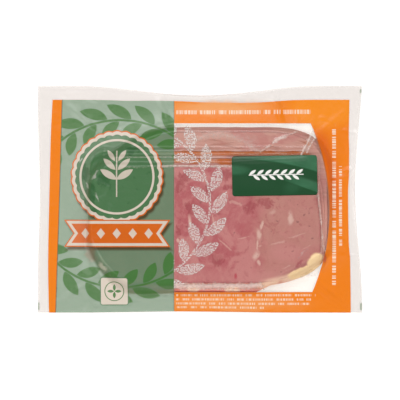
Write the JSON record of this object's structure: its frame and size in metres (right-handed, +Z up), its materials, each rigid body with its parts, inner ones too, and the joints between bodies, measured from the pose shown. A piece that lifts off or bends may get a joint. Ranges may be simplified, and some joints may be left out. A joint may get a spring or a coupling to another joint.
{
  "type": "pack of mutton bacon",
  "caption": "Flat vacuum pack of shingled mutton bacon slices under printed film with a clear window, with a stuck-on product label.",
  "frame": {"origin": "under the middle of the pack, on the surface it lies on", "axes": "+X along the pack's long side, to the right of its print; +Y to the upper edge of its print; +Z up, out of its printed face"},
  "size_m": [0.225, 0.1572, 0.0121],
  "materials": {
    "printed_film": "gloss",
    "clear_film": "gloss",
    "bacon_lean": "satin",
    "bacon_fat": "satin",
    "label_face": "gloss"
  },
  "bodies": {
    "root": {"pouch": "printed_film", "product_label": "label_face"}
  },
  "joints": []
}
